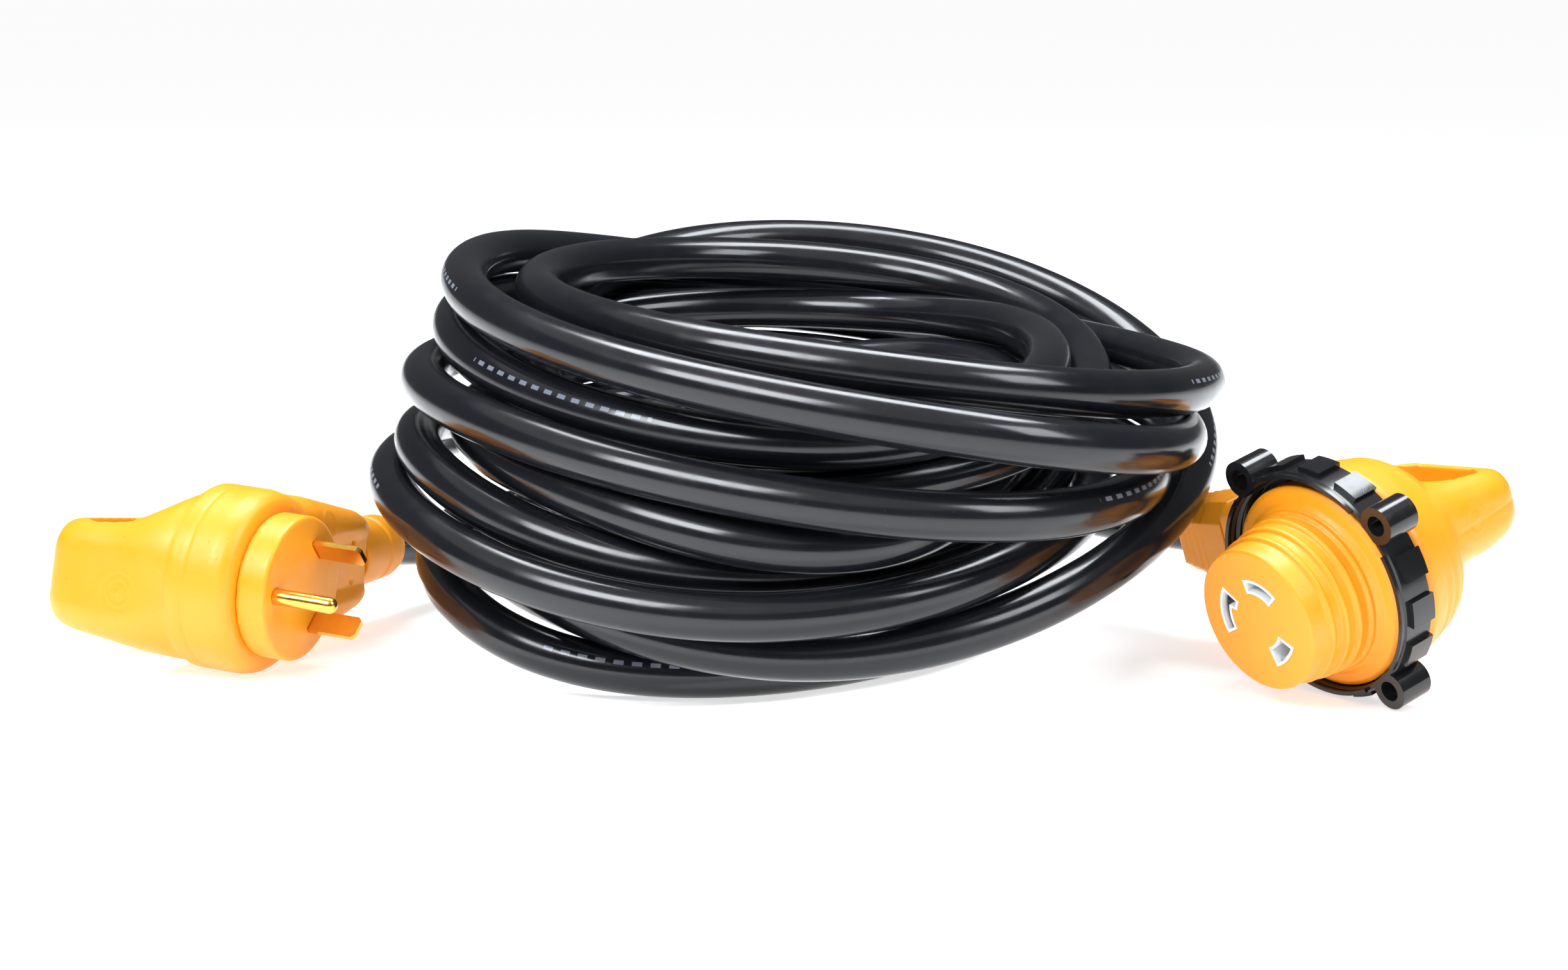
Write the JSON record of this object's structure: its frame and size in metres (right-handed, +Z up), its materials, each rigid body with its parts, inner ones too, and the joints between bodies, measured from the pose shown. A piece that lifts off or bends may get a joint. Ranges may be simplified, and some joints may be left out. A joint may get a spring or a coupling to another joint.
{
  "type": "shore power cord",
  "caption": "Loosely coiled heavy three-core cable with a right-angle male plug at one end and a twist-lock connector with a rotating threaded locking ring at the other, both with finger loops.",
  "frame": {"origin": "on the floor below the middle of the two end fittings", "axes": "+X from the plug to the connector, +Z up, +Y from the fittings' mating faces towards the back of the coil"},
  "size_m": [0.4977, 0.294, 0.139],
  "materials": {
    "cord_jacket": "glossy black PVC jacket",
    "core_black": "insulated core",
    "core_white": "insulated core",
    "core_green": "insulated core",
    "crimp_tin": "tinned crimp barrel",
    "housing_nylon": "white nylon",
    "contact_nickel": "nickel-plated contact leaf",
    "ring_plastic": "glossy black thermoplastic",
    "prong_brass": "drawn and chamfered brass",
    "moulded_pvc": "semi-matte yellow-orange moulded PVC"
  },
  "bodies": {
    "cord_set": {"connector_body": "moulded_pvc", "connector_contact_ground": "contact_nickel", "connector_contact_hot": "contact_nickel", "connector_contact_neutral": "contact_nickel", "connector_core_ground": "core_green", "connector_core_hot": "core_black", "connector_core_neutral": "core_white", "connector_crimp_ground": "crimp_tin", "connector_crimp_hot": "crimp_tin", "connector_crimp_neutral": "crimp_tin", "connector_flange": "moulded_pvc", "connector_housing_ground": "housing_nylon", "connector_housing_hot": "housing_nylon", "connector_housing_neutral": "housing_nylon", "connector_insert": "moulded_pvc", "connector_nose": "moulded_pvc", "connector_strain_relief": "moulded_pvc", "cord_coil": "cord_jacket", "cord_lead_connector": "cord_jacket", "cord_lead_plug": "cord_jacket", "plug_blade_hot": "prong_brass", "plug_blade_neutral": "prong_brass", "plug_body": "moulded_pvc", "plug_core_ground": "core_green", "plug_core_hot": "core_black", "plug_core_neutral": "core_white", "plug_crimp_ground": "crimp_tin", "plug_crimp_hot": "crimp_tin", "plug_crimp_neutral": "crimp_tin", "plug_ground_pin": "prong_brass", "plug_nose": "moulded_pvc", "plug_strain_relief": "moulded_pvc"},
    "locking_ring": {"locking_ring": "ring_plastic"}
  },
  "joints": [
    {"name": "ring_spin", "type": "hinge", "parent": "cord_set", "child": "locking_ring", "pos_m": [0.18092, -0.04287, 0.0409], "axis": [-0.7845, -0.5555, -0.2756], "continuous": true}
  ]
}
